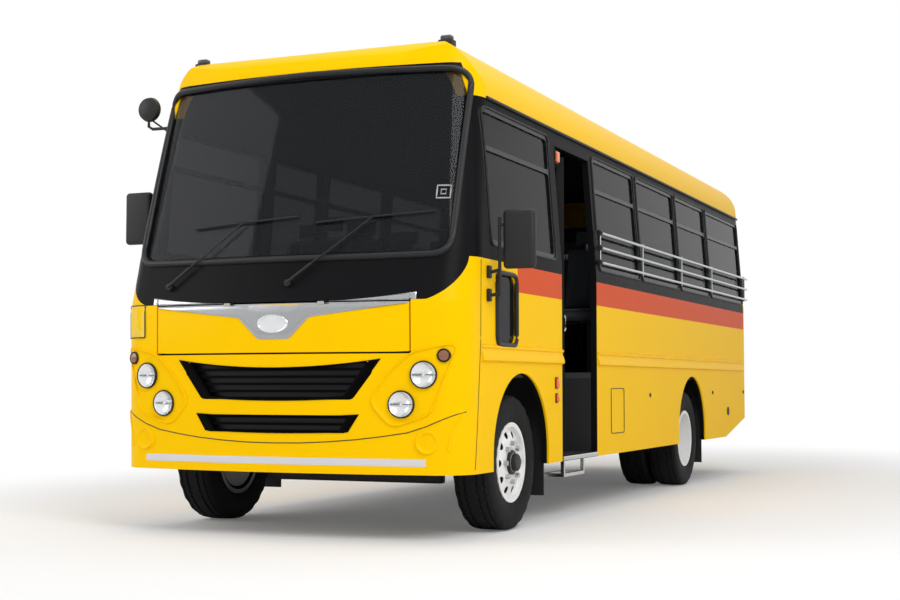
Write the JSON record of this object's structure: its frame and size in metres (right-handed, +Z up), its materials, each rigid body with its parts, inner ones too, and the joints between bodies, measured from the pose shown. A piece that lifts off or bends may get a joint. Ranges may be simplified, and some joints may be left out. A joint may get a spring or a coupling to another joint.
{
  "type": "school bus",
  "caption": "Forward-control school bus with a folding entry door, rear emergency door, twin rear wheels and barred side windows.",
  "frame": {"origin": "on the ground at the middle of the overall length and width", "axes": "+Z up, the bus faces -Y, +X to its nearside (left, the door's side)"},
  "size_m": [2.8, 7.5699, 2.9002],
  "materials": {
    "body_paint": "gloss yellow enamel with an orange side stripe",
    "black_trim": "gloss black",
    "black_plastic": "grained",
    "bright_metal": "brushed",
    "glass": "tinted laminated",
    "dark_glass": "dark tinted",
    "lamp": "clear lens",
    "chassis": "satin black chassis paint",
    "engine": "cast",
    "steel": "dull",
    "tank": "satin",
    "floor": "ribbed mat",
    "step": "chequered",
    "dash": "grained",
    "seat": "woven",
    "rubber": "matt",
    "wheel_paint": "gloss white",
    "tyre": "matt"
  },
  "bodies": {
    "body": {"chassis_frame": "chassis", "cross_members": "chassis", "floor_bearers": "chassis", "front_axle": "chassis", "rear_axle": "chassis", "leaf_springs": "chassis", "engine_block": "engine", "propeller_shaft": "steel", "exhaust": "steel", "fuel_tank": "tank", "floor": "floor", "entry_steps": "step", "foot_step": "bright_metal", "side_left": "body_paint", "side_right": "body_paint", "front_mask": "body_paint", "front_bumper": "body_paint", "windscreen_surround": "black_trim", "roof": "body_paint", "rear_wall": "body_paint", "window_frames": "black_trim", "windscreen": "glass", "side_glass": "dark_glass", "dashboard": "dash", "steering_wheel": "dash", "driver_seat": "seat", "passenger_seats": "seat", "grab_poles": "bright_metal", "grille": "black_trim", "lamps": "lamp", "mirrors": "black_plastic", "wipers": "black_plastic", "guard_rails": "bright_metal", "mudflaps": "rubber"},
    "knuckle_left": {"knuckle_left": "chassis"},
    "knuckle_right": {"knuckle_right": "chassis"},
    "wheel_front_left": {"rim_front_left": "wheel_paint", "tyre_front_left": "tyre"},
    "wheel_front_right": {"rim_front_right": "wheel_paint", "tyre_front_right": "tyre"},
    "wheels_rear_left": {"rims_rear_left": "wheel_paint", "tyres_rear_left": "tyre"},
    "wheels_rear_right": {"rims_rear_right": "wheel_paint", "tyres_rear_right": "tyre"},
    "door_front_leaf": {"door_front_leaf": "black_trim", "door_front_glass": "dark_glass"},
    "door_rear_leaf": {"door_rear_leaf": "black_trim", "door_rear_glass": "dark_glass"},
    "front_flap": {"front_flap": "body_paint"},
    "emergency_door": {"emergency_door": "body_paint", "emergency_glass": "dark_glass"}
  },
  "joints": [
    {"name": "steer_left", "type": "hinge", "parent": "body", "child": "knuckle_left", "pos_m": [0.765, -2.765, 0.3985], "axis": [0, 0, 1], "range_deg": [-35, 35]},
    {"name": "steer_right", "type": "hinge", "parent": "body", "child": "knuckle_right", "pos_m": [-0.765, -2.765, 0.3985], "axis": [0, 0, 1], "range_deg": [-35, 35]},
    {"name": "wheel_front_left_spin", "type": "hinge", "parent": "knuckle_left", "child": "wheel_front_left", "pos_m": [0.9325, -2.765, 0.3985], "axis": [1, 0, 0], "continuous": true},
    {"name": "wheel_front_right_spin", "type": "hinge", "parent": "knuckle_right", "child": "wheel_front_right", "pos_m": [-0.9325, -2.765, 0.3985], "axis": [1, 0, 0], "continuous": true},
    {"name": "wheels_rear_left_spin", "type": "hinge", "parent": "body", "child": "wheels_rear_left", "pos_m": [0.8, 1.435, 0.3985], "axis": [1, 0, 0], "continuous": true},
    {"name": "wheels_rear_right_spin", "type": "hinge", "parent": "body", "child": "wheels_rear_right", "pos_m": [-0.8, 1.435, 0.3985], "axis": [1, 0, 0], "continuous": true},
    {"name": "door_front", "type": "hinge", "parent": "body", "child": "door_front_leaf", "pos_m": [1.0276, -1.997, 1.4], "axis": [0, 0, 1], "range_deg": [-71, 0]},
    {"name": "door_fold", "type": "hinge", "parent": "door_front_leaf", "child": "door_rear_leaf", "pos_m": [0.7025, -1.86919, 1.4], "axis": [0, 0, 1], "range_deg": [0, 142]},
    {"name": "front_flap_hinge", "type": "hinge", "parent": "body", "child": "front_flap", "pos_m": [0, -3.779, 1.313], "axis": [1, 0, 0], "range_deg": [-70, 0]},
    {"name": "emergency_door_hinge", "type": "hinge", "parent": "body", "child": "emergency_door", "pos_m": [0.3935, 3.769, 1.645], "axis": [0, 0, 1], "range_deg": [-110, 0]}
  ],
  "couplings": [
    {"joint": "steer_right", "follows": "steer_left", "ratio": 1},
    {"joint": "door_fold", "follows": "door_front", "ratio": -2}
  ]
}
